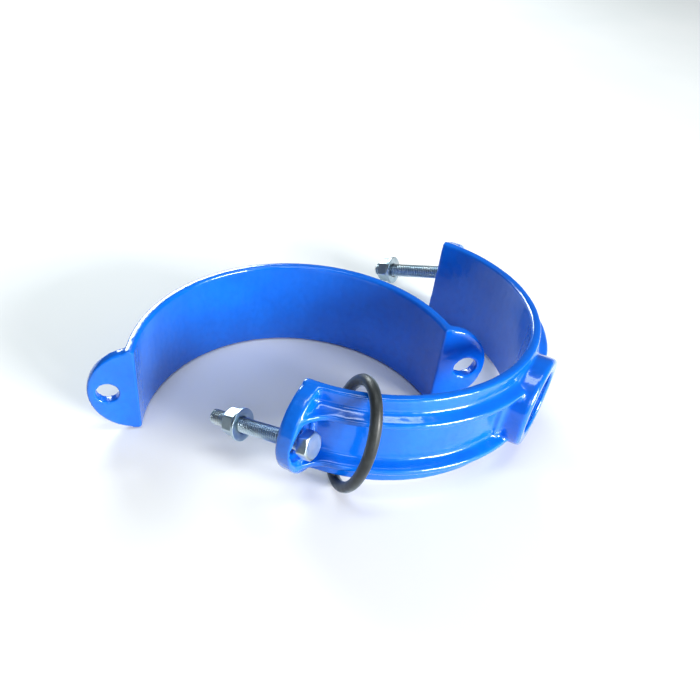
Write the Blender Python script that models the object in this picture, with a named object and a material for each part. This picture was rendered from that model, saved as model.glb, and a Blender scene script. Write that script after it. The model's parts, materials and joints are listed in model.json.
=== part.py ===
"""Pipe saddle clamp, taken apart: a saddle half with a threaded outlet, a plain
strap half, two hex bolts with washers and nuts, and a rubber O-ring.

Row frame: metres, +Z up, the floor at z = 0. The saddle's outlet points along +X.
Each half stands on edge, so its pipe bore runs up and down.
"""
import math

import bmesh
import bpy
from mathutils import Euler, Matrix, Vector

MM = 0.001

# ---- driving dimensions ----------------------------------------------------
PIPE_R = 80.0 * MM            # the clamp fits a 160 mm pipe
BAND_WIDTH = 52.0 * MM        # width of both halves along the pipe
WALL = 5.0 * MM               # wall of the cast band
EDGE_ROUND = 1.2 * MM         # rounding of the band's rims
RIB_HEIGHT = 6.0 * MM         # how far the saddle's two ribs stand off the wall
RIB_INSET = 11.5 * MM         # rib centre line to the nearer rim
RIB_CREST = 3.6 * MM
RIB_DRAFT = 1.7 * MM          # a rib is this much wider on each side at its root
RIB_ROUND = 0.8 * MM
STRAP_RIB_HEIGHT = 3.5 * MM   # the strap's single middle rib
STRAP_RIB_CREST = 6.0 * MM
SADDLE_GAP = 5.3 * MM         # saddle's mating faces stop short of the pipe's middle
STRAP_GAP = 9.9 * MM          # strap's mating faces, the same

EAR_R = 25.7 * MM             # ear lobe, centred on the bore's surface line
EAR_EDGE = 1.2 * MM
WEB_INSET = 7.4 * MM          # a web stops this far inside the lobe's tip
WEB_RUN = 17.0 * MM           # and runs this far past the ear's back before it is a plain rib
SADDLE_EAR_T = 9.0 * MM
STRAP_EAR_T = 6.0 * MM
HOLE_PITCH_R = 95.0 * MM      # bolt hole to the middle of the clamp
HOLE_R = 6.0 * MM
POCKET_DEPTH = 3.2 * MM       # recess for the bolt head
POCKET_R = 9.8 * MM
POCKET_ARC = 70.0             # half angle of the pocket's round end, in degrees
POCKET_START = 1.5 * MM       # the pocket starts this far outside the wall
POCKET_LENGTH = 16.0 * MM     # and is open this far behind its floor

BOSS_R = 23.4 * MM            # outlet collar
BOSS_FACE = 94.8 * MM         # outlet face to the pipe's middle
BOSS_CHAMFER = 1.4 * MM
BOSS_FILLET = 2.4 * MM        # flare at the collar's foot, inside the band's width
BOSS_SINK = 1.5 * MM          # the foot starts this far inside the wall
OUTLET_R = 15.4 * MM          # bore of a 1 inch pipe thread
OUTLET_MOUTH_R = 17.2 * MM
OUTLET_MOUTH_DEPTH = 1.8 * MM

BOLT_R = 4.0 * MM             # M8 by 55, threaded all along
BOLT_LENGTH = 55.0 * MM
BOLT_TIP_CHAMFER = 0.9 * MM
HEAD_FLAT = 13.0 * MM         # across flats, head and nut
HEAD_T = 5.3 * MM
NUT_T = 6.8 * MM
NUT_BORE_R = 4.15 * MM
WASHER_R = 8.5 * MM
WASHER_BORE_R = 4.3 * MM
WASHER_T = 1.6 * MM
WASHER_EDGE = 0.25 * MM
NUT_SINK = 0.7 * MM           # countersink at both ends of the nut's bore
CONTACT_GAP = 0.3 * MM        # room left between touching pieces

RING_SECTION_R = 2.9 * MM     # O-ring, sagging into an oval as it hangs
RING_TALL = 30.4 * MM
RING_WIDE = 21.5 * MM

# ---- layout on the floor ---------------------------------------------------
ORIGIN_SHIFT = Vector((3.27 * MM, 6.74 * MM, 0.0))   # puts the origin under the middle
SADDLE_TILT = math.radians(-2.5)      # the O-ring lies under its near side
SADDLE_LIFT = 3.65 * MM
STRAP_PLACE = Vector((-11.88 * MM, -58.46 * MM, 0.02 * MM))
STRAP_TURN = math.radians(131.25)
# name, side of the saddle, nose-down angle, swing, tip to washer face, how far the bolt
# is pushed out of its pocket, and where it lies in its hole (sideways, up)
BOLTS = (
    ("near", -1, math.radians(13.5), math.radians(-2.5), 17.5 * MM, 2.4 * MM, (-0.3 * MM, -0.8 * MM)),
    ("far", 1, math.radians(16.5), math.radians(0.2), 10.5 * MM, 0.2 * MM, (0.1 * MM, 0.0)),
)
RING_PLACE = Vector((30.03 * MM, -74.66 * MM, 32.8 * MM))
RING_AZIMUTH = math.radians(-137.5)   # where the ring's flat side faces
RING_RISE = math.radians(10.7)
RING_ROLL = math.radians(-7.3)

# ---- cutters and overlaps --------------------------------------------------
REACH = 40.0 * MM             # how far a cutter runs past what it cuts
OVERLAP = 0.6 * MM            # joined pieces reach this far into each other
TRIM_GAP = 0.02 * MM          # the bore trim stays this far inside the band's bore face

# ---- mesh fineness ---------------------------------------------------------
BAND_STEPS = 48
ROUND_STEPS = 40
SMALL_STEPS = 28
CORNER_STEPS = 2
RING_STEPS = 60


# ---- small helpers ---------------------------------------------------------
def clear_scene():
    for old in list(bpy.data.objects):
        bpy.data.objects.remove(old, do_unlink=True)


def make_material(name, colour, roughness, metallic):
    material = bpy.data.materials.new(name)
    material.use_nodes = True
    shader = material.node_tree.nodes["Principled BSDF"]
    shader.inputs["Base Color"].default_value = (*colour, 1.0)
    shader.inputs["Roughness"].default_value = roughness
    shader.inputs["Metallic"].default_value = metallic
    material.diffuse_color = (*colour, 1.0)
    return material


def add_empty(name, location, rotation=(0.0, 0.0, 0.0), parent=None):
    empty = bpy.data.objects.new(name, None)
    empty.location = location
    empty.rotation_euler = rotation
    empty.parent = parent
    bpy.context.collection.objects.link(empty)
    return empty


def add_mesh(name, bm, material, parent):
    bmesh.ops.remove_doubles(bm, verts=bm.verts, dist=1e-6)
    bmesh.ops.recalc_face_normals(bm, faces=bm.faces)
    mesh = bpy.data.meshes.new(name)
    bm.to_mesh(mesh)
    bm.free()
    mesh.shade_smooth()
    mesh.set_sharp_from_angle(angle=math.radians(35))
    mesh.materials.append(material)
    part = bpy.data.objects.new(name, mesh)
    part.parent = parent
    bpy.context.collection.objects.link(part)
    return part


def as_tool(part):
    part.hide_render = True
    part.display_type = "WIRE"
    return part


def boolean(part, tool, operation):
    modifier = part.modifiers.new(tool.name, "BOOLEAN")
    modifier.operation = operation
    modifier.solver = "EXACT"
    modifier.object = as_tool(tool)


def arc_points(centre, radius, start, end, steps):
    """Points on an arc in a plane, from one angle in degrees to another."""
    points = []
    for i in range(steps + 1):
        angle = math.radians(start + (end - start) * i / steps)
        points.append((centre[0] + radius * math.cos(angle), centre[1] + radius * math.sin(angle)))
    return points


def sweep_points(start, end, steps):
    """A hollow curve between two points, level at its end, without its first point."""
    points = []
    for i in range(1, steps + 1):
        t = i / steps
        points.append((
            start[0] + (end[0] - start[0]) * (1 - (1 - t) ** 2),
            start[1] + (end[1] - start[1]) * t ** 1.2))
    return points


def face_loop(bm, points):
    """A closed loop of edges through 3-D points."""
    verts = [bm.verts.new(point) for point in points]
    return [bm.edges.new((verts[i], verts[(i + 1) % len(verts)])) for i in range(len(verts))]


def turn_solid(outline, steps, sweep=360.0, start=0.0):
    """Turn a closed (radius, height) outline about the Z axis."""
    bm = bmesh.new()
    first = math.radians(start)
    points = [(r * math.cos(first), r * math.sin(first), z) for r, z in outline]
    loop = face_loop(bm, points)
    full = abs(sweep - 360.0) < 1e-6
    result = bmesh.ops.spin(
        bm, geom=loop, cent=(0, 0, 0), axis=(0, 0, 1), angle=math.radians(sweep), steps=steps,
        use_merge=full)
    if not full:
        last = [g for g in result["geom_last"] if isinstance(g, bmesh.types.BMEdge)]
        bmesh.ops.contextual_create(bm, geom=loop)
        bmesh.ops.contextual_create(bm, geom=last)
    return bm


def extrude_outline(points, vector):
    """A prism from a flat outline of 3-D points."""
    bm = bmesh.new()
    face = bm.faces.new([bm.verts.new(point) for point in points])
    top = bmesh.ops.extrude_face_region(bm, geom=[face])
    moved = [g for g in top["geom"] if isinstance(g, bmesh.types.BMVert)]
    bmesh.ops.translate(bm, verts=moved, vec=vector)
    return bm


def lay_along_x(bm, place):
    """Lay a piece turned about +Z along +X, then move it."""
    bmesh.ops.rotate(bm, verts=bm.verts, cent=(0, 0, 0), matrix=Matrix.Rotation(math.pi / 2, 3, "Y"))
    bmesh.ops.translate(bm, verts=bm.verts, vec=place)


def bevel_rims(bm, width, axis, segments=2):
    """Round the rims of the two flat ends that face along an axis."""
    axis = Vector(axis)
    bm.normal_update()
    rims = []
    for edge in bm.edges:
        flats = [abs(face.normal.dot(axis)) > 0.99 for face in edge.link_faces]
        if len(flats) == 2 and flats[0] != flats[1]:
            rims.append(edge)
    bmesh.ops.bevel(bm, geom=rims, offset=width, segments=segments, profile=0.5, affect="EDGES")


def cut_flat(bm, point, normal):
    """Keep what lies ahead of a plane and close the cut."""
    geometry = list(bm.verts) + list(bm.edges) + list(bm.faces)
    cut = bmesh.ops.bisect_plane(
        bm, geom=geometry, dist=1e-7, plane_co=point, plane_no=normal, clear_inner=True)
    rim = [g for g in cut["geom_cut"] if isinstance(g, bmesh.types.BMEdge)]
    bmesh.ops.edgeloop_fill(bm, edges=rim)


# ---- the cast halves -------------------------------------------------------
def rib_outline(centre, height, crest):
    """One rib, seen in the band's section, from below to above."""
    root = PIPE_R + WALL
    top = root + height
    lower = [
        (root, -crest / 2 - RIB_DRAFT - RIB_ROUND),
        (root + RIB_ROUND, -crest / 2 - RIB_DRAFT),
        (top - RIB_ROUND, -crest / 2),
        (top, -crest / 2 + RIB_ROUND),
    ]
    upper = [(r, -z) for r, z in reversed(lower)]
    return [(r, centre + z) for r, z in lower + upper]


def band_outline(ribs):
    """The band's section: flat bore side, rounded rims, ribs outside."""
    inner, outer, top, rnd = PIPE_R, PIPE_R + WALL, BAND_WIDTH, EDGE_ROUND
    outline = arc_points((inner + rnd, rnd), rnd, 180, 270, CORNER_STEPS)
    outline += arc_points((outer - rnd, rnd), rnd, 270, 360, CORNER_STEPS)
    for centre, height, crest in ribs:
        outline += rib_outline(centre, height, crest)
    outline += arc_points((outer - rnd, top - rnd), rnd, 0, 90, CORNER_STEPS)
    outline += arc_points((inner + rnd, top - rnd), rnd, 90, 180, CORNER_STEPS)
    return outline


def make_band(name, gap, ribs, material, parent):
    bm = turn_solid(band_outline(ribs), BAND_STEPS, sweep=180.0, start=-90.0)
    cut_flat(bm, (gap, 0, 0), (1, 0, 0))
    return add_mesh(name, bm, material, parent)


def make_ear(name, side, gap, thickness, material, parent):
    """A lobe that stands out beside the band, flat on its mating face."""
    middle = BAND_WIDTH / 2
    root = PIPE_R + OVERLAP
    lobe = arc_points((PIPE_R, middle), EAR_R, -90, 90, 20)
    outline = [(root, 0.0)] + [p for p in lobe if p[0] > root] + [(root, BAND_WIDTH)]
    points = [(gap, side * y, z) for y, z in outline]
    bm = extrude_outline(points, (thickness, 0, 0))
    bmesh.ops.recalc_face_normals(bm, faces=bm.faces)
    bevel_rims(bm, EAR_EDGE, (1, 0, 0))
    return add_mesh(name, bm, material, parent)


def make_hole_tool(name, side, material, parent):
    outline = [(0.0, -REACH / 2), (HOLE_R, -REACH / 2), (HOLE_R, REACH), (0.0, REACH)]
    bm = turn_solid(outline, SMALL_STEPS)
    lay_along_x(bm, (0, side * HOLE_PITCH_R, BAND_WIDTH / 2))
    return add_mesh(name, bm, material, parent)


def make_web(name, side, height, material, parent):
    """Carries one rib out to the ear, sweeping from the band's curve to the lobe."""
    crest = PIPE_R + WALL + RIB_HEIGHT
    back = SADDLE_GAP + SADDLE_EAR_T
    reach = PIPE_R + EAR_R - WEB_INSET
    leave = math.degrees(math.asin((back + WEB_RUN) / crest))
    meet = math.degrees(math.asin(back / crest))
    inner = arc_points((0, 0), PIPE_R + 0.5 * WALL, leave, meet, 5)
    end = (Vector(inner[0]).normalized() * (crest - 0.2 * MM)).to_tuple()
    outer = [(reach, SADDLE_GAP + 2 * MM), (reach, back + 0.5 * MM)]
    outer += sweep_points(outer[-1], end, 6)
    outline = outer + inner + [(PIPE_R + 0.5 * WALL, SADDLE_GAP + 2 * MM)]
    low = height - RIB_CREST / 2
    bm = extrude_outline([(x, side * y, low) for y, x in outline], (0, 0, RIB_CREST))
    return add_mesh(name, bm, material, parent)


def make_pocket_tool(name, side, material, parent):
    """Room for the bolt head, open towards the band and round at its far end."""
    middle = BAND_WIDTH / 2
    wide = middle - RIB_INSET - RIB_CREST / 2
    start = PIPE_R + WALL + POCKET_START
    outline = [(start, middle - wide)]
    outline += arc_points((HOLE_PITCH_R, middle), POCKET_R, -POCKET_ARC, POCKET_ARC, 12)
    outline += [(start, middle + wide)]
    floor = SADDLE_GAP + SADDLE_EAR_T - POCKET_DEPTH
    bm = extrude_outline([(floor, side * y, z) for y, z in outline], (POCKET_LENGTH, 0, 0))
    return add_mesh(name, bm, material, parent)


def make_boss(material, parent):
    """The outlet's collar, flared where it meets the band."""
    root = PIPE_R + OVERLAP
    foot = PIPE_R + WALL - BOSS_SINK
    outline = [(0.0, root), (BOSS_R + BOSS_FILLET, root), (BOSS_R + BOSS_FILLET, foot)]
    outline += arc_points((BOSS_R + BOSS_FILLET, foot + BOSS_FILLET), BOSS_FILLET, -90, -180, 4)
    outline += [(BOSS_R, BOSS_FACE - BOSS_CHAMFER), (BOSS_R - BOSS_CHAMFER, BOSS_FACE), (0.0, BOSS_FACE)]
    bm = turn_solid(outline, ROUND_STEPS)
    return outlet_piece("saddle_boss", bm, material, parent)


def outlet_piece(name, bm, material, parent):
    """Lay a turned piece along the outlet, half way up the band."""
    lay_along_x(bm, (0, 0, BAND_WIDTH / 2))
    return add_mesh(name, bm, material, parent)


def make_outlet_tool(material, parent):
    deep, mouth, beyond = PIPE_R - REACH / 2, BOSS_FACE - OUTLET_MOUTH_DEPTH, BOSS_FACE + REACH
    outline = [
        (0.0, deep), (OUTLET_R, deep), (OUTLET_R, mouth),
        (OUTLET_MOUTH_R, BOSS_FACE), (OUTLET_MOUTH_R, beyond), (0.0, beyond),
    ]
    return outlet_piece("outlet_cutter", turn_solid(outline, ROUND_STEPS), material, parent)


def make_bore_tool(name, material, parent):
    """Trims whatever the ears and boss leave inside the pipe's bore."""
    radius, top = PIPE_R - TRIM_GAP, BAND_WIDTH + REACH
    outline = [(0.0, -REACH), (radius, -REACH), (radius, top), (0.0, top)]
    return add_mesh(name, turn_solid(outline, 2 * BAND_STEPS, start=-90.0), material, parent)


def make_saddle(paint, parent):
    heights = (RIB_INSET, BAND_WIDTH - RIB_INSET)
    ribs = [(height, RIB_HEIGHT, RIB_CREST) for height in heights]
    saddle = make_band("saddle", SADDLE_GAP, ribs, paint, parent)
    for label, side in (("near", -1), ("far", 1)):
        ear = make_ear("saddle_ear_" + label, side, SADDLE_GAP, SADDLE_EAR_T, paint, parent)
        boolean(saddle, ear, "UNION")
        for level, height in zip(("low", "high"), heights):
            web = make_web("saddle_web_%s_%s" % (label, level), side, height, paint, parent)
            boolean(saddle, web, "UNION")
        boolean(saddle, make_pocket_tool("pocket_" + label, side, paint, parent), "DIFFERENCE")
        boolean(saddle, make_hole_tool("saddle_hole_" + label, side, paint, parent), "DIFFERENCE")
    boolean(saddle, make_boss(paint, parent), "UNION")
    boolean(saddle, make_outlet_tool(paint, parent), "DIFFERENCE")
    boolean(saddle, make_bore_tool("saddle_bore", paint, parent), "DIFFERENCE")
    return saddle


def make_strap(paint, parent):
    ribs = [(BAND_WIDTH / 2, STRAP_RIB_HEIGHT, STRAP_RIB_CREST)]
    strap = make_band("strap", STRAP_GAP, ribs, paint, parent)
    for label, side in (("left", 1), ("right", -1)):
        ear = make_ear("strap_ear_" + label, side, STRAP_GAP, STRAP_EAR_T, paint, parent)
        boolean(strap, ear, "UNION")
        boolean(strap, make_hole_tool("strap_hole_" + label, side, paint, parent), "DIFFERENCE")
    boolean(strap, make_bore_tool("strap_bore", paint, parent), "DIFFERENCE")
    return strap


# ---- fasteners, each along its own -X, the way the bolt's tip points --------
def hex_prism(thick, low):
    corner = HEAD_FLAT / 2 / math.cos(math.pi / 6)
    points = []
    for i in range(6):
        angle = math.radians(60 * i + 30)
        points.append((low, corner * math.cos(angle), corner * math.sin(angle)))
    return extrude_outline(points, (thick, 0, 0))


def chamfer_tool(name, low, height, both, material, parent):
    """A cone-ended disc that takes a hexagon's corners off."""
    corner = HEAD_FLAT / 2 / math.cos(math.pi / 6) + 0.05 * MM
    shoulder = HEAD_FLAT / 2 * 0.96
    rise = (corner - shoulder) * math.tan(math.radians(30))
    outline = [(0.0, 0.0)]
    outline += [(shoulder, 0.0), (corner, rise)] if both else [(corner, 0.0)]
    outline += [(corner, height - rise), (shoulder, height), (0.0, height)]
    bm = turn_solid(outline, ROUND_STEPS)
    lay_along_x(bm, (low, 0, 0))
    return add_mesh(name, bm, material, parent)


def make_bolt(label, zinc, parent):
    """Head from x = 0 to HEAD_T, shank from 0 to -BOLT_LENGTH."""
    name = "hex_bolt_" + label
    tip = BOLT_TIP_CHAMFER
    outline = [
        (0.0, 0.0), (BOLT_R - tip, 0.0), (BOLT_R, tip),
        (BOLT_R, BOLT_LENGTH + OVERLAP), (0.0, BOLT_LENGTH + OVERLAP),
    ]
    shank = turn_solid(outline, SMALL_STEPS)
    lay_along_x(shank, (-BOLT_LENGTH, 0, 0))
    head = add_mesh(name, hex_prism(HEAD_T, 0.0), zinc, parent)
    boolean(head, chamfer_tool(name + "_chamfer", 0.0, HEAD_T, False, zinc, parent), "INTERSECT")
    boolean(head, add_mesh(name + "_shank", shank, zinc, parent), "UNION")
    return head


def make_washer(label, zinc, parent, low):
    edge = WASHER_EDGE
    outline = [
        (WASHER_BORE_R, 0.0), (WASHER_R - edge, 0.0), (WASHER_R, edge),
        (WASHER_R, WASHER_T - edge), (WASHER_R - edge, WASHER_T), (WASHER_BORE_R, WASHER_T),
    ]
    bm = turn_solid(outline, SMALL_STEPS)
    lay_along_x(bm, (0, 0, 0))
    washer = add_mesh("washer_" + label, bm, zinc, parent)
    washer.location = (low, 0, 0)
    return washer


def make_nut(label, zinc, parent, low):
    name = "hex_nut_" + label
    nut = add_mesh(name, hex_prism(NUT_T, 0.0), zinc, parent)
    chamfer = chamfer_tool(name + "_chamfer", 0.0, NUT_T, True, zinc, parent)
    sink, over = NUT_SINK, OVERLAP
    wide = NUT_BORE_R + sink + over
    outline = [
        (0.0, -over), (wide, -over), (NUT_BORE_R, sink),
        (NUT_BORE_R, NUT_T - sink), (wide, NUT_T + over), (0.0, NUT_T + over),
    ]
    bore = turn_solid(outline, SMALL_STEPS)
    lay_along_x(bore, (0, 0, 0))
    tool = add_mesh(name + "_bore", bore, zinc, parent)
    boolean(nut, chamfer, "INTERSECT")
    boolean(nut, tool, "DIFFERENCE")
    for piece in (nut, chamfer, tool):
        piece.location = (low, 0, 0)
    return nut


def make_fasteners(zinc, saddle_frame):
    floor = SADDLE_EAR_T - POCKET_DEPTH
    corner = HEAD_FLAT / 2 / math.cos(math.pi / 6)
    for label, side, droop, swing, reach, out, (across, up) in BOLTS:
        middle = Vector((SADDLE_GAP + floor / 2, side * HOLE_PITCH_R + across, BAND_WIDTH / 2 + up))
        hole = saddle_frame.matrix_basis @ middle
        turn = Euler((0.0, -droop, swing), "XYZ")
        lean = math.hypot(droop, swing)
        head_at = (floor / 2 + corner * math.sin(lean) + CONTACT_GAP) / math.cos(lean)
        place = hole + turn.to_matrix() @ Vector((head_at + out, 0, 0))
        axis = add_empty("axis_" + label, place, turn)
        make_bolt(label, zinc, axis)
        washer_low = -BOLT_LENGTH + reach
        make_washer(label, zinc, axis, washer_low)
        make_nut(label, zinc, axis, washer_low - CONTACT_GAP - NUT_T)


# ---- the O-ring ------------------------------------------------------------
def make_ring(rubber):
    """A rubber ring hooked over the band, sagging into a slight oval."""
    curve = bpy.data.curves.new("o_ring", "CURVE")
    curve.dimensions = "3D"
    curve.bevel_depth = RING_SECTION_R
    curve.bevel_resolution = 4
    curve.resolution_u = 1
    spline = curve.splines.new("POLY")
    spline.points.add(RING_STEPS - 1)
    for i, point in enumerate(spline.points):
        angle = 2 * math.pi * i / RING_STEPS
        point.co = (RING_WIDE * math.cos(angle), RING_TALL * math.sin(angle), 0.0, 1.0)
    spline.use_cyclic_u = True
    spline.use_smooth = True
    curve.materials.append(rubber)
    ring = bpy.data.objects.new("o_ring", curve)
    normal = Vector((
        math.cos(RING_RISE) * math.cos(RING_AZIMUTH), math.cos(RING_RISE) * math.sin(RING_AZIMUTH),
        math.sin(RING_RISE)))
    across = Vector((0, 0, 1)).cross(normal).normalized()
    frame = Matrix((across, normal.cross(across), normal)).transposed()
    ring.matrix_basis = Matrix.Translation(RING_PLACE) @ (
        frame @ Matrix.Rotation(RING_ROLL, 3, "Z")).to_4x4()
    bpy.context.collection.objects.link(ring)
    return ring


def main():
    clear_scene()
    paint = make_material("blue_epoxy", (0.012, 0.12, 0.72), 0.22, 0.0)
    zinc = make_material("zinc_plate", (0.62, 0.66, 0.66), 0.32, 1.0)
    rubber = make_material("black_rubber", (0.022, 0.026, 0.028), 0.55, 0.0)
    saddle_frame = add_empty("saddle_frame", (0, 0, SADDLE_LIFT), (SADDLE_TILT, 0, 0))
    strap_frame = add_empty("strap_frame", STRAP_PLACE, (0, 0, STRAP_TURN))
    make_saddle(paint, saddle_frame)
    make_strap(paint, strap_frame)
    make_fasteners(zinc, saddle_frame)
    make_ring(rubber)
    for part in bpy.data.objects:
        if part.parent is None:
            part.location = part.location + ORIGIN_SHIFT


main()
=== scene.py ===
"""Pipe saddle clamp, taken apart, on a plain pale floor.

The cast halves are refined copies of the CAD solids with cast fillets and a threaded
outlet; the bolts, nuts, washers and O-ring are rebuilt around their CAD axes.
"""

import json
import math

import bmesh
import bpy
import numpy as np
from mathutils import Matrix, Vector, noise


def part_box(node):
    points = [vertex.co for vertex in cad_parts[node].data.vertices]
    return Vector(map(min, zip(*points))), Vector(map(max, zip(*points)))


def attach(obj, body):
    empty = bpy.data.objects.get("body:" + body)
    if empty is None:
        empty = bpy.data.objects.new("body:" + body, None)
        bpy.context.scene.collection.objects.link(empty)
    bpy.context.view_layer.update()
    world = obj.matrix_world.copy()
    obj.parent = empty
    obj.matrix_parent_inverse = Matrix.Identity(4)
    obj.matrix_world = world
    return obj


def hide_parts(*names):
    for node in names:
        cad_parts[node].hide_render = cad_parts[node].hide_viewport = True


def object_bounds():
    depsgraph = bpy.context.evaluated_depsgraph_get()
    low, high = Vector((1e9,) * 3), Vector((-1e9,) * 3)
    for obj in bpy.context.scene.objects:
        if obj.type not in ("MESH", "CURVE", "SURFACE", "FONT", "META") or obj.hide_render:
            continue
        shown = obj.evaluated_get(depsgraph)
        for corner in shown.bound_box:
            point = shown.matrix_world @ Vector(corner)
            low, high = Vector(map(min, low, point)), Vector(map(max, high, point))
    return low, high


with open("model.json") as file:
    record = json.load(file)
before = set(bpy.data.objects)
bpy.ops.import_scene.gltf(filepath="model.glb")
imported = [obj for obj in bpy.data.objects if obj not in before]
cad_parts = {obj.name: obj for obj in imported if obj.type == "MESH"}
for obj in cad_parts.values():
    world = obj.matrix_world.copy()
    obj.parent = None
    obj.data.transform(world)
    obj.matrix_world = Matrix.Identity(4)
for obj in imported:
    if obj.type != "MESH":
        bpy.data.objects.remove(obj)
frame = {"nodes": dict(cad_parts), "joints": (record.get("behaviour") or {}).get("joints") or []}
cad_low, cad_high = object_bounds()

MM = 0.001

# ---- camera ----------------------------------------------------------------
CAMERA_PLACE = (0.12699, -0.30014, 0.27448)
CAMERA_PITCH = math.radians(90.0 - 42.385)
CAMERA_YAW = math.radians(35.147)
CAMERA_ROLL = math.radians(-0.22)
CAMERA_LENS = 37.480
CAMERA_SHIFT = (0.17050, 0.07868)

# ---- castings --------------------------------------------------------------
BAND_WIDTH = 52.0 * MM
CAST_VOXEL = 0.72 * MM
WELD = 0.002 * MM
CAST_SMOOTHING = 9            # rounds of smoothing that turn sharp corners into cast fillets
LUMP_DEPTH = 0.16 * MM
OUTLET_CUT_R = 16.95 * MM     # the plain bore is opened to this for the threaded liner
OUTLET_CUT_LENGTH = 40 * MM
OUTLET_CUT_FROM_FACE = 1.2 * MM
LINER_WALL = 0.5 * MM         # the liner's outer face is sunk this far into the casting
LINER_DEEP, LINER_MOUTH = -14.6 * MM, -1.9 * MM   # the thread's ends, from the collar's face
PIPE_THREAD_MINOR_R = 15.15 * MM
PIPE_THREAD_MAJOR_R = 16.62 * MM
PIPE_THREAD_PITCH = 2.309 * MM

# ---- fasteners -------------------------------------------------------------
THREAD_PITCH = 1.25 * MM
THREAD_DEPTH = 0.70 * MM
THREAD_STEPS = 40
# share of a pitch, share of the thread's depth
THREAD_PROFILE = (
    (0.0, 0.0), (0.08, 0.0), (0.27, 0.55), (0.44, 0.96),
    (0.50, 1.0), (0.56, 0.96), (0.73, 0.55), (0.92, 0.0),
)
HEX_FLAT = 13.0 * MM
HEX_ACROSS = HEX_FLAT - 0.04 * MM     # as drawn
HEX_SHOULDER = HEX_FLAT / 2 * 0.955   # the nut's end faces reach nearly to this radius
HEX_SHOULDER_CUT = HEX_ACROSS / 2 * 0.955   # where the chamfer starts
HEX_TURN = math.radians(30)
FIT = 0.02 * MM                       # the drawn surfaces stay this far inside the CAD's
BOLT_CREST = 4.0 * MM - FIT
FILLET = 0.35 * MM                    # under the bolt's head
NUT_BORE = 4.12 * MM
NUT_ROOT = 4.68 * MM
NUT_MOUTH = 4.75 * MM
NUT_SINK = 0.6 * MM
WASHER_BORE = 4.3 * MM
WASHER_RIM = 8.5 * MM
WASHER_SOFT = 0.28 * MM               # radius of the washer's pressed rim
WASHER_CUP = 0.06 * MM


# ---- small helpers ---------------------------------------------------------
def link(name, mesh, material):
    mesh.materials.clear()
    mesh.materials.append(material)
    piece = bpy.data.objects.new(name, mesh)
    bpy.context.scene.collection.objects.link(piece)
    return piece


def mesh_from(name, verts, faces, smooth_angle=40.0):
    mesh = bpy.data.meshes.new(name)
    mesh.from_pydata([tuple(v) for v in verts], [], faces)
    mesh.validate()
    bm = bmesh.new()
    bm.from_mesh(mesh)
    bmesh.ops.remove_doubles(bm, verts=bm.verts, dist=1e-7)
    bmesh.ops.recalc_face_normals(bm, faces=bm.faces)
    bm.to_mesh(mesh)
    bm.free()
    mesh.shade_smooth()
    mesh.set_sharp_from_angle(angle=math.radians(smooth_angle))
    return mesh


def evaluated_mesh(piece):
    graph = bpy.context.evaluated_depsgraph_get()
    return bpy.data.meshes.new_from_object(piece.evaluated_get(graph), depsgraph=graph)


def hand_over(piece, body, slot, *nodes):
    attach(piece, body)
    if nodes:
        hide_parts(*nodes)


# ---- node helpers ----------------------------------------------------------
class Shader:
    """A material with one Principled shader and short ways to add nodes."""

    def __init__(self, name):
        self.material = bpy.data.materials.new(name)
        self.material.use_nodes = True
        self.tree = self.material.node_tree
        self.main = self.tree.nodes["Principled BSDF"]
        self.place = self.tree.nodes.new("ShaderNodeTexCoord").outputs["Object"]

    def new(self, kind, **settings):
        made = self.tree.nodes.new(kind)
        for key, value in settings.items():
            setattr(made, key, value)
        return made

    def join(self, source, target):
        self.tree.links.new(source, target)

    def stretched(self, scale):
        mapping = self.new("ShaderNodeMapping")
        mapping.inputs["Scale"].default_value = scale
        self.join(self.place, mapping.inputs["Vector"])
        return mapping.outputs["Vector"]

    def noise(self, scale, detail=2.0, rough=0.5, place=None):
        made = self.new("ShaderNodeTexNoise")
        made.inputs["Scale"].default_value = scale
        made.inputs["Detail"].default_value = detail
        made.inputs["Roughness"].default_value = rough
        self.join(place or self.place, made.inputs["Vector"])
        return made.outputs["Fac"]

    def pointiness(self):
        return self.new("ShaderNodeNewGeometry").outputs["Pointiness"]

    def remap(self, value, low, high, to_low, to_high):
        made = self.new("ShaderNodeMapRange")
        for key, number in zip(("From Min", "From Max", "To Min", "To Max"), (low, high, to_low, to_high)):
            made.inputs[key].default_value = number
        self.join(value, made.inputs["Value"])
        return made.outputs["Result"]

    def math(self, operation, a, b):
        made = self.new("ShaderNodeMath", operation=operation)
        for socket, value in zip(made.inputs, (a, b)):
            if isinstance(value, (int, float)):
                socket.default_value = value
            else:
                self.join(value, socket)
        return made.outputs["Value"]

    def mix(self, factor, a, b):
        made = self.new("ShaderNodeMix", data_type="RGBA")
        self.join(factor, made.inputs["Factor"])
        for key, value in (("A", a), ("B", b)):
            socket = [s for s in made.inputs if s.name == key and s.type == "RGBA"][0]
            if isinstance(value, tuple):
                socket.default_value = (*value, 1.0)
            else:
                self.join(value, socket)
        return [s for s in made.outputs if s.type == "RGBA"][0]

    def bump(self, height, strength, distance, normal=None):
        made = self.new("ShaderNodeBump")
        made.inputs["Strength"].default_value = strength
        made.inputs["Distance"].default_value = distance
        self.join(height, made.inputs["Height"])
        if normal is not None:
            self.join(normal, made.inputs["Normal"])
        return made.outputs["Normal"]

    def set(self, **values):
        for key, value in values.items():
            socket = self.main.inputs[key.replace("_", " ")]
            if isinstance(value, (int, float, tuple)):
                socket.default_value = value
            else:
                self.join(value, socket)


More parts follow.
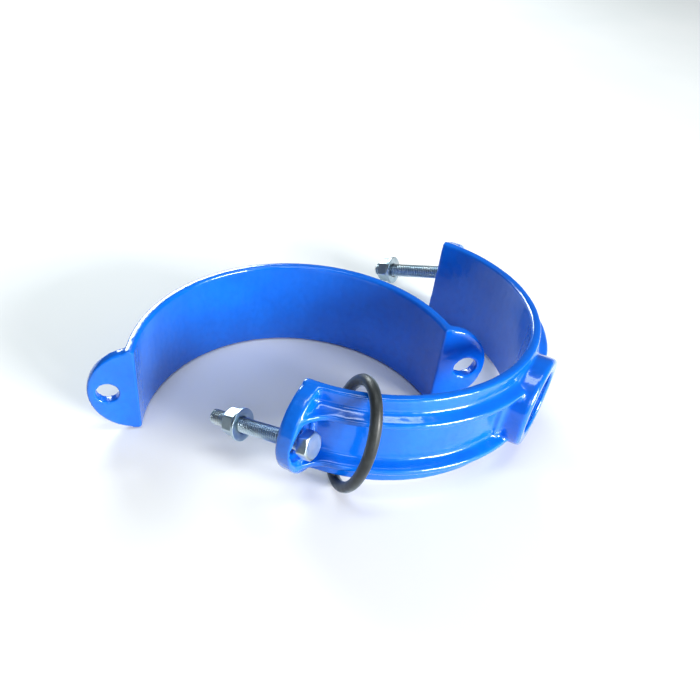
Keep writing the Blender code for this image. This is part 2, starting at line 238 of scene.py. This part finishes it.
def epoxy_material():
    """Glossy blue epoxy powder over cast iron: soft orange peel, a painted highlight lightening the convex
    edges and painted shade darkening the hollows.
    """
    s = Shader("blue_epoxy_paint")
    colour = s.mix(s.remap(s.noise(28, 3), 0.35, 0.65, 0, 1), (0.0008, 0.122, 0.57), (0.0014, 0.155, 0.68))
    colour = s.mix(s.remap(s.noise(260, 2), 0.45, 0.75, 0, 0.35), colour, (0.0008, 0.105, 0.50))
    edge = s.pointiness()
    # painted highlight: convex edges (high pointiness) are lightened towards a pale blue
    colour = s.mix(s.remap(edge, 0.515, 0.60, 0, 0.45), colour, (0.010, 0.24, 0.90))
    # painted shade: hollows and inside corners (low pointiness) are darkened
    colour = s.mix(s.remap(edge, 0.485, 0.42, 0, 0.55), colour, (0.0006, 0.070, 0.40))
    rough = s.remap(s.noise(70, 3), 0.3, 0.7, 0.16, 0.27)
    peel = s.bump(s.noise(330, 1.5, 0.4), 0.55, 0.00022)
    skin = s.bump(s.noise(1500, 2), 0.25, 0.00003, peel)
    s.set(Base_Color=colour, Roughness=rough, Normal=skin, IOR=1.52, Coat_Weight=0.6, Coat_Roughness=0.06)
    return s.material


def zinc_material():
    """Zinc plate with a blue passivation tint: painted shade with some dust darkens the thread roots, worn
    bright on edges.
    """
    s = Shader("blue_white_zinc")
    colour = s.mix(s.remap(s.noise(180, 3), 0.35, 0.65, 0, 1), (0.52, 0.62, 0.68), (0.40, 0.52, 0.60))
    colour = s.mix(s.remap(s.noise(75, 1), 0.52, 0.70, 0, 0.35), colour, (0.66, 0.61, 0.53))
    edge = s.pointiness()
    # painted shade with some dust: thread roots and hollows (low pointiness) are darkened
    colour = s.mix(s.remap(edge, 0.48, 0.40, 0, 0.45), colour, (0.10, 0.16, 0.20))
    colour = s.mix(s.remap(edge, 0.52, 0.60, 0, 0.6), colour, (0.88, 0.91, 0.92))
    scratch = s.noise(900, 2, 0.6, s.stretched((0.12, 1.0, 1.0)))
    scuffed = s.remap(scratch, 0.5, 0.8, 0, 0.06)
    rough = s.math("ADD", s.remap(s.noise(420, 3), 0.3, 0.7, 0.30, 0.38), scuffed)
    s.set(Base_Color=colour, Metallic=1.0, Roughness=rough, Normal=s.bump(scratch, 0.2, 0.00003))
    return s.material


def rubber_material():
    """Moulded black rubber with a satin bloom and a little dust."""
    s = Shader("moulded_rubber")
    bloom = s.remap(s.noise(95, 4, 0.6), 0.42, 0.70, 0, 0.8)
    colour = s.mix(bloom, (0.016, 0.019, 0.020), (0.042, 0.050, 0.052))
    dust = s.remap(s.noise(1400, 2, 0.7), 0.66, 0.78, 0, 0.5)
    colour = s.mix(dust, colour, (0.11, 0.115, 0.11))
    rough = s.remap(s.noise(240, 3), 0.3, 0.7, 0.36, 0.52)
    s.set(
        Base_Color=colour, Roughness=rough, Normal=s.bump(s.noise(2200, 2), 0.3, 0.00004), IOR=1.52,
        Sheen_Weight=0.35, Sheen_Roughness=0.4, Sheen_Tint=(0.75, 0.9, 1.0, 1.0))
    return s.material


def floor_material():
    s = Shader("pale_floor")
    colour = s.mix(s.remap(s.noise(9, 3), 0.3, 0.7, 0, 1), (0.79, 0.80, 0.80), (0.82, 0.82, 0.82))
    s.set(Base_Color=colour, Roughness=0.75, Normal=s.bump(s.noise(260, 3), 0.05, 0.0002))
    return s.material


# ---- the cast halves -------------------------------------------------------
def welded_copy(node):
    mesh = frame["nodes"][node].data.copy()
    bm = bmesh.new()
    bm.from_mesh(mesh)
    bmesh.ops.remove_doubles(bm, verts=bm.verts, dist=WELD)
    bm.to_mesh(mesh)
    bm.free()
    return mesh


def refine(piece):
    """Even out the mesh and round its corners the way a coated casting's are."""
    remesh = piece.modifiers.new("even", "REMESH")
    remesh.mode = "VOXEL"
    remesh.voxel_size = CAST_VOXEL
    remesh.use_smooth_shade = True
    smooth = piece.modifiers.new("fillets", "SMOOTH")
    smooth.factor = 0.5
    smooth.iterations = CAST_SMOOTHING
    return evaluated_mesh(piece)


def add_lumps(mesh, seed):
    """Shallow hollows of a sand casting under its coating; nothing is raised."""
    offset = Vector((seed, 2.0 * seed, 0.0))
    normals = [v.normal.copy() for v in mesh.vertices]
    for vertex, normal in zip(mesh.vertices, normals):
        place = vertex.co + offset
        broad = noise.noise(place * 75.0)
        fine = noise.noise(place * 260.0)
        spots = max(0.0, noise.noise(place * 190.0 + Vector((7.0, 3.0, 1.0))) - 0.28)
        depth = 0.5 + 0.35 * broad + 0.15 * fine + 1.1 * spots
        vertex.co -= normal * (LUMP_DEPTH * 0.8 * max(0.0, depth))


def open_outlet(piece, mount, axis):
    """Widen the plain bore where the threaded liner goes."""
    bm = bmesh.new()
    bmesh.ops.create_cone(
        bm, cap_ends=True, segments=72, radius1=OUTLET_CUT_R, radius2=OUTLET_CUT_R,
        depth=OUTLET_CUT_LENGTH)
    turn = axis.to_track_quat("Z", "Y").to_matrix().to_4x4()
    middle = mount - axis * (OUTLET_CUT_LENGTH / 2 + OUTLET_CUT_FROM_FACE)
    bmesh.ops.transform(bm, matrix=Matrix.Translation(middle) @ turn, verts=bm.verts)
    mesh = bpy.data.meshes.new("outlet_cut")
    bm.to_mesh(mesh)
    bm.free()
    tool = bpy.data.objects.new("outlet_cut", mesh)
    bpy.context.scene.collection.objects.link(tool)
    cut = piece.modifiers.new("outlet", "BOOLEAN")
    cut.operation = "DIFFERENCE"
    cut.solver = "EXACT"
    cut.object = tool
    opened = evaluated_mesh(piece)
    piece.modifiers.clear()
    piece.data = opened
    bpy.data.objects.remove(tool)


def make_casting(node, name, paint, seed, mount=None, axis=None):
    piece = link(name, welded_copy(node), paint)
    if mount is not None:
        open_outlet(piece, mount, axis)
    mesh = refine(piece)
    piece.modifiers.clear()
    piece.data = mesh
    add_lumps(mesh, seed)
    mesh.materials.clear()
    mesh.materials.append(paint)
    mesh.shade_smooth()
    hand_over(piece, node, "blue_epoxy", node)
    return piece


# ---- threads ---------------------------------------------------------------
def helix_rows(low, high, pitch, root, crest, per_turn):
    """Rows of points along a screw thread, flattened into its root at both ends."""
    first = int((low / pitch - 1) * per_turn)
    last = int((high / pitch + 1) * per_turn)
    rows = []
    for i in range(first, last + 1):
        angle = 2 * math.pi * i / per_turn
        row = []
        for share, height in THREAD_PROFILE:
            z = pitch * (i / per_turn + share)
            room = min(z - low, high - z)
            fade = max(0.0, min(1.0, room / (0.55 * pitch)))
            radius = root + (crest - root) * height * fade
            z = min(max(z, low), high)
            row.append((radius * math.cos(angle), radius * math.sin(angle), z))
        rows.append(row)
    return rows


def thread_mesh(low, high, pitch, root, crest, per_turn=THREAD_STEPS):
    """The screw surface along +Z between two heights."""
    rows = helix_rows(low, high, pitch, root, crest, per_turn)
    width = len(THREAD_PROFILE)
    verts = [point for row in rows for point in row]
    faces = []
    for i in range(len(rows) - 1):
        for j in range(width):
            if j + 1 < width:
                a, b = i * width + j, i * width + j + 1
                c, d = (i + 1) * width + j + 1, (i + 1) * width + j
            else:
                if i + 1 + per_turn >= len(rows):
                    continue
                a, b = i * width + j, (i + per_turn) * width
                c, d = (i + 1 + per_turn) * width, (i + 1) * width + j
            faces.append((a, b, c, d))
    return verts, faces


def lathe(outline, steps):
    """Turn an open (radius, height) outline about +Z; a radius of 0 closes to a point."""
    verts, faces = [], []
    for radius, z in outline:
        for k in range(steps):
            angle = 2 * math.pi * k / steps
            verts.append((radius * math.cos(angle), radius * math.sin(angle), z))
    for i in range(len(outline) - 1):
        for k in range(steps):
            n = (k + 1) % steps
            faces.append((i * steps + k, i * steps + n, (i + 1) * steps + n, (i + 1) * steps + k))
    return verts, faces


def softest(a, b, sharpness=70.0):
    """The smaller of two radii, blended where they meet."""
    return (a ** -sharpness + b ** -sharpness) ** (-1.0 / sharpness)


def hexagon_radius(angle, flat):
    total = sum(abs(math.cos(angle - math.radians(60 * k))) ** 44 for k in range(3))
    return flat / 2 / total ** (1 / 44)


def hex_body(low, high, chamfer_low, inner):
    """A forged hexagon along +Z with its upper corners, and if asked its lower ones, turned off."""
    steps, slope = 120, math.tan(math.radians(30))
    reach = (HEX_ACROSS / 2 * 1.16 - HEX_SHOULDER_CUT) * slope
    levels = [low + reach * t for t in np.linspace(0.0, 1.0, 10)]
    levels += [high - reach * t for t in np.linspace(1.0, 0.0, 10)]
    angles = [2 * math.pi * k / steps for k in range(steps)]
    rings = [[radius] * steps for radius, _ in inner[0]]
    heights = [z for _, z in inner[0]] + levels + [z for _, z in inner[1]]
    for z in levels:
        limit = HEX_SHOULDER_CUT + (high - z) / slope
        if chamfer_low:
            limit = min(limit, HEX_SHOULDER_CUT + (z - low) / slope)
        rings.append([softest(hexagon_radius(angle - HEX_TURN, HEX_ACROSS), limit) for angle in angles])
    rings += [[radius] * steps for radius, _ in inner[1]]
    verts, faces = [], []
    for ring, z in zip(rings, heights):
        verts += [(r * math.cos(angle), r * math.sin(angle), z) for r, angle in zip(ring, angles)]
    for i in range(len(rings) - 1):
        a, b = i * steps, (i + 1) * steps
        for k in range(steps):
            n = (k + 1) % steps
            faces.append((a + k, a + n, b + n, b + k))
    return verts, faces


def merged(parts):
    verts, faces = [], []
    for part_verts, part_faces in parts:
        base = len(verts)
        verts += part_verts
        faces += [tuple(i + base for i in face) for face in part_faces]
    return verts, faces


# ---- the fasteners ---------------------------------------------------------
def axis_frame(origin, direction):
    """The fastener's own frame as a matrix whose Z is the axis and X its level side."""
    ahead = Vector(direction).normalized()
    side = Vector((0, 0, 1)).cross(ahead).normalized()
    return Matrix.Translation(origin) @ Matrix((side, ahead.cross(side), ahead)).transposed().to_4x4()


def span(node, place):
    """Lowest and highest point of a CAD node along a fastener's axis."""
    inverse = place.inverted()
    heights = [(inverse @ v.co).z for v in frame["nodes"][node].data.vertices]
    return min(heights), max(heights)


def joint(name):
    return next(j for j in frame["joints"] if j["name"] == name)


def finished(name, parts, place, material, angle=40.0):
    verts, faces = merged(parts)
    mesh = mesh_from(name, verts, faces, angle)
    mesh.transform(place)
    return link(name, mesh, material)


def make_bolt(label, zinc, place):
    """Head above the frame's origin, threaded shank below it."""
    low, high = span("hex_bolt_" + label, place)
    root, crest = BOLT_CREST - THREAD_DEPTH, BOLT_CREST
    inner = (
        [(0.0, 0.0), (3.6 * MM, 0.0), (5.9 * MM, 0.0), (6.0 * MM, 0.05 * MM)],
        [
            (5.6 * MM, high), (4.9 * MM, high - FIT), (2.5 * MM, high - 0.10 * MM),
            (0.0, high - 0.12 * MM)],
    )
    head = hex_body(0.0, high, False, inner)
    shank = lathe([
        (0.0, low + FIT), (root * 0.80, low), (root * 0.92, low + 0.08 * MM),
        (root + FIT, low + 0.5 * MM), (root + FIT, -1.2 * MM), (crest - 0.05 * MM, -0.9 * MM),
        (crest, -0.3 * MM), (crest + FILLET, 0.0), (crest + FILLET, 0.3 * MM)], 48)
    thread = thread_mesh(low + 0.25 * MM, -0.9 * MM, THREAD_PITCH, root, crest)
    piece = finished("bolt_%s_threaded" % label, [head, shank, thread], place, zinc, 32.0)
    hand_over(piece, "bolt_" + label, "zinc_plate", "hex_bolt_" + label)


def make_washer(label, zinc, place):
    low, high = span("washer_" + label, place)
    middle, soft = (WASHER_BORE + WASHER_RIM) / 2, WASHER_SOFT
    ring = [(WASHER_BORE + 0.12 * MM, low), (middle, low + WASHER_CUP)]
    for height, start in ((low + soft, -90), (high - soft, 0)):
        for k in range(5):
            a = math.radians(start + 90 * k / 4)
            ring.append((WASHER_RIM - soft + soft * math.cos(a), height + soft * math.sin(a)))
    ring += [
        (middle, high - WASHER_CUP), (WASHER_BORE + 0.35 * MM, high - FIT),
        (WASHER_BORE, high - 0.25 * MM), (WASHER_BORE, low + 0.12 * MM), (WASHER_BORE + 0.12 * MM, low)]
    piece = finished("washer_%s_pressed" % label, [lathe(ring, 96)], place, zinc, 50.0)
    hand_over(piece, "washer_" + label, "zinc_plate", "washer_" + label)


def make_nut(label, zinc, place):
    low, high = span("hex_nut_" + label, place)
    start, end = low + NUT_SINK, high - NUT_SINK
    outer, face = HEX_SHOULDER - 0.15 * MM, HEX_SHOULDER - 0.5 * MM
    inner = (
        [(NUT_BORE, start), (NUT_MOUTH, low + FIT), (face, low), (outer, low)],
        [(outer, high), (face, high), (NUT_MOUTH, high - FIT), (NUT_BORE, end)],
    )
    body = hex_body(low, high, True, inner)
    inside = thread_mesh(start, end, THREAD_PITCH, NUT_ROOT, NUT_BORE + FIT)
    sleeve = lathe([
        (NUT_BORE + FIT / 2, start), (NUT_ROOT + FIT, start + FIT),
        (NUT_ROOT + FIT, end - FIT), (NUT_BORE + FIT / 2, end)], 60)
    piece = finished("nut_%s_tapped" % label, [body, inside, sleeve], place, zinc, 32.0)
    hand_over(piece, "nut_" + label, "zinc_plate", "hex_nut_" + label)


def make_fasteners(zinc):
    for label in ("near", "far"):
        spin, slide = joint("nut_%s_spin" % label), joint("bolt_%s_float" % label)
        place = axis_frame(Vector(spin["pos_m"]), slide["axis"])
        make_bolt(label, zinc, place)
        make_washer(label, zinc, place)
        make_nut(label, zinc, place)


# ---- the outlet's pipe thread ----------------------------------------------
def make_outlet_thread(paint, mount, axis):
    side = Vector((0, 0, 1)).cross(axis).normalized()
    place = Matrix.Translation(mount) @ Matrix((side, axis.cross(side), axis)).transposed().to_4x4()
    deep, mouth, root = LINER_DEEP, LINER_MOUTH, PIPE_THREAD_MAJOR_R
    wall = OUTLET_CUT_R + LINER_WALL
    thread = thread_mesh(deep, mouth, PIPE_THREAD_PITCH, root, PIPE_THREAD_MINOR_R, 96)
    shell = lathe([
        (root + FIT, mouth + FIT), (root + 0.05 * MM, mouth + 0.5 * MM), (wall, mouth + 0.5 * MM),
        (wall, deep - 0.3 * MM), (root + 0.1 * MM, deep - 0.3 * MM), (root + FIT, deep),
        (root + FIT, mouth + FIT)], 96)
    piece = finished("outlet_pipe_thread", [thread, shell], place, paint, 45.0)
    hand_over(piece, "saddle", "blue_epoxy")


# ---- the O-ring ------------------------------------------------------------
def ring_axes():
    """Centre, long axis, short axis and normal of the CAD ring, with its half sizes."""
    co = np.array([v.co for v in frame["nodes"]["o_ring"].data.vertices], float)
    centre = (co.min(0) + co.max(0)) / 2
    for _ in range(3):
        offsets = co - centre
        axes = np.linalg.svd(offsets - offsets.mean(0), full_matrices=False)[2]
        spread = offsets @ axes.T
        centre = centre + ((spread.max(0) + spread.min(0)) / 2) @ axes
    spread = (co - centre) @ axes.T
    return centre, axes, (spread.max(0) - spread.min(0)) / 2


def make_ring(rubber):
    centre, axes, half = ring_axes()
    section = half[2] - FIT
    tall, wide = half[0] - half[2], half[1] - half[2]
    along, around = 200, 36
    verts, faces = [], []
    for i in range(along):
        t = 2 * math.pi * i / along
        middle = centre + axes[0] * tall * math.cos(t) + axes[1] * wide * math.sin(t)
        ahead = -axes[0] * tall * math.sin(t) + axes[1] * wide * math.cos(t)
        out = np.cross(ahead / np.linalg.norm(ahead), axes[2])
        for k in range(around):
            a = 2 * math.pi * k / around
            seam = max(0.0, 1.0 - abs(math.sin(a)) / 0.16)
            wobble = noise.noise(Vector((math.cos(t) * 2.2, math.sin(t) * 2.2, a * 0.4 % 2.5)))
            radius = section * (0.972 + 0.022 * seam + 0.006 * wobble)
            verts.append(middle + out * radius * math.cos(a) + axes[2] * radius * math.sin(a))
    for i in range(along):
        for k in range(around):
            n, m = (i + 1) % along, (k + 1) % around
            faces.append((i * around + k, i * around + m, n * around + m, n * around + k))
    piece = link("o_ring_moulded", mesh_from("o_ring_moulded", verts, faces, 60.0), rubber)
    hand_over(piece, "o_ring", "black_rubber", "o_ring")


# ---- floor, lights, camera -------------------------------------------------
def make_floor():
    bm = bmesh.new()
    bmesh.ops.create_grid(bm, x_segments=4, y_segments=4, size=4.0)
    mesh = bpy.data.meshes.new("floor")
    bm.to_mesh(mesh)
    bm.free()
    floor = link("floor", mesh, floor_material())
    floor.location.z = cad_low.z - 0.05 * MM


def make_light(name, place, target, size, watts, colour):
    data = bpy.data.lights.new(name, "AREA")
    data.shape = "RECTANGLE"
    data.size, data.size_y = size
    data.energy = watts
    data.color = colour
    light = bpy.data.objects.new(name, data)
    light.location = place
    light.rotation_euler = (Vector(target) - Vector(place)).to_track_quat("-Z", "Y").to_euler()
    bpy.context.scene.collection.objects.link(light)


def make_lights():
    middle = (0.0, 0.0, 0.03)
    make_light("window_right", (1.28, -0.24, 0.42), middle, (0.60, 0.40), 29.0, (1.0, 0.99, 0.97))
    make_light("window_back", (-0.90, 0.68, 0.62), middle, (0.70, 0.45), 13.0, (0.90, 0.98, 1.0))
    make_light("front_soft", (0.55, -1.05, 0.75), middle, (0.60, 0.35), 2.5, (1.0, 1.0, 1.0))
    make_light("overhead_strip", (0.05, -0.05, 1.2), middle, (0.9, 0.22), 4.0, (0.92, 0.98, 1.0))
    world = bpy.data.worlds.new("studio")
    world.use_nodes = True
    background = world.node_tree.nodes["Background"]
    background.inputs["Color"].default_value = (0.93, 0.96, 1.0, 1.0)
    background.inputs["Strength"].default_value = 0.13
    bpy.context.scene.world = world


def make_camera():
    data = bpy.data.cameras.new("camera")
    data.sensor_width = 36.0
    data.lens = CAMERA_LENS
    data.shift_x, data.shift_y = CAMERA_SHIFT
    data.clip_start, data.clip_end = 0.01, 20.0
    camera = bpy.data.objects.new("camera", data)
    turn = Matrix.Rotation(CAMERA_YAW, 4, "Z") @ Matrix.Rotation(CAMERA_PITCH, 4, "X")
    camera.matrix_world = Matrix.Translation(CAMERA_PLACE) @ turn @ Matrix.Rotation(CAMERA_ROLL, 4, "Z")
    bpy.context.scene.collection.objects.link(camera)
    bpy.context.scene.camera = camera


def main():
    bpy.context.scene.view_settings.view_transform = "Standard"
    bpy.context.scene.view_settings.look = "Medium High Contrast"
    make_camera()
    make_floor()
    make_lights()
    paint, zinc, rubber = epoxy_material(), zinc_material(), rubber_material()
    pipe = joint("ring_along_band")
    mount = Vector(pipe["pos_m"]) + Vector(pipe["axis"]).normalized() * BAND_WIDTH / 2
    mount.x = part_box("saddle")[1].x
    axis = Vector((1, 0, 0))
    make_casting("saddle", "saddle_cast", paint, 1.7, mount, axis)
    make_casting("strap", "strap_cast", paint, 4.1)
    make_outlet_thread(paint, mount, axis)
    make_fasteners(zinc)
    make_ring(rubber)


main()
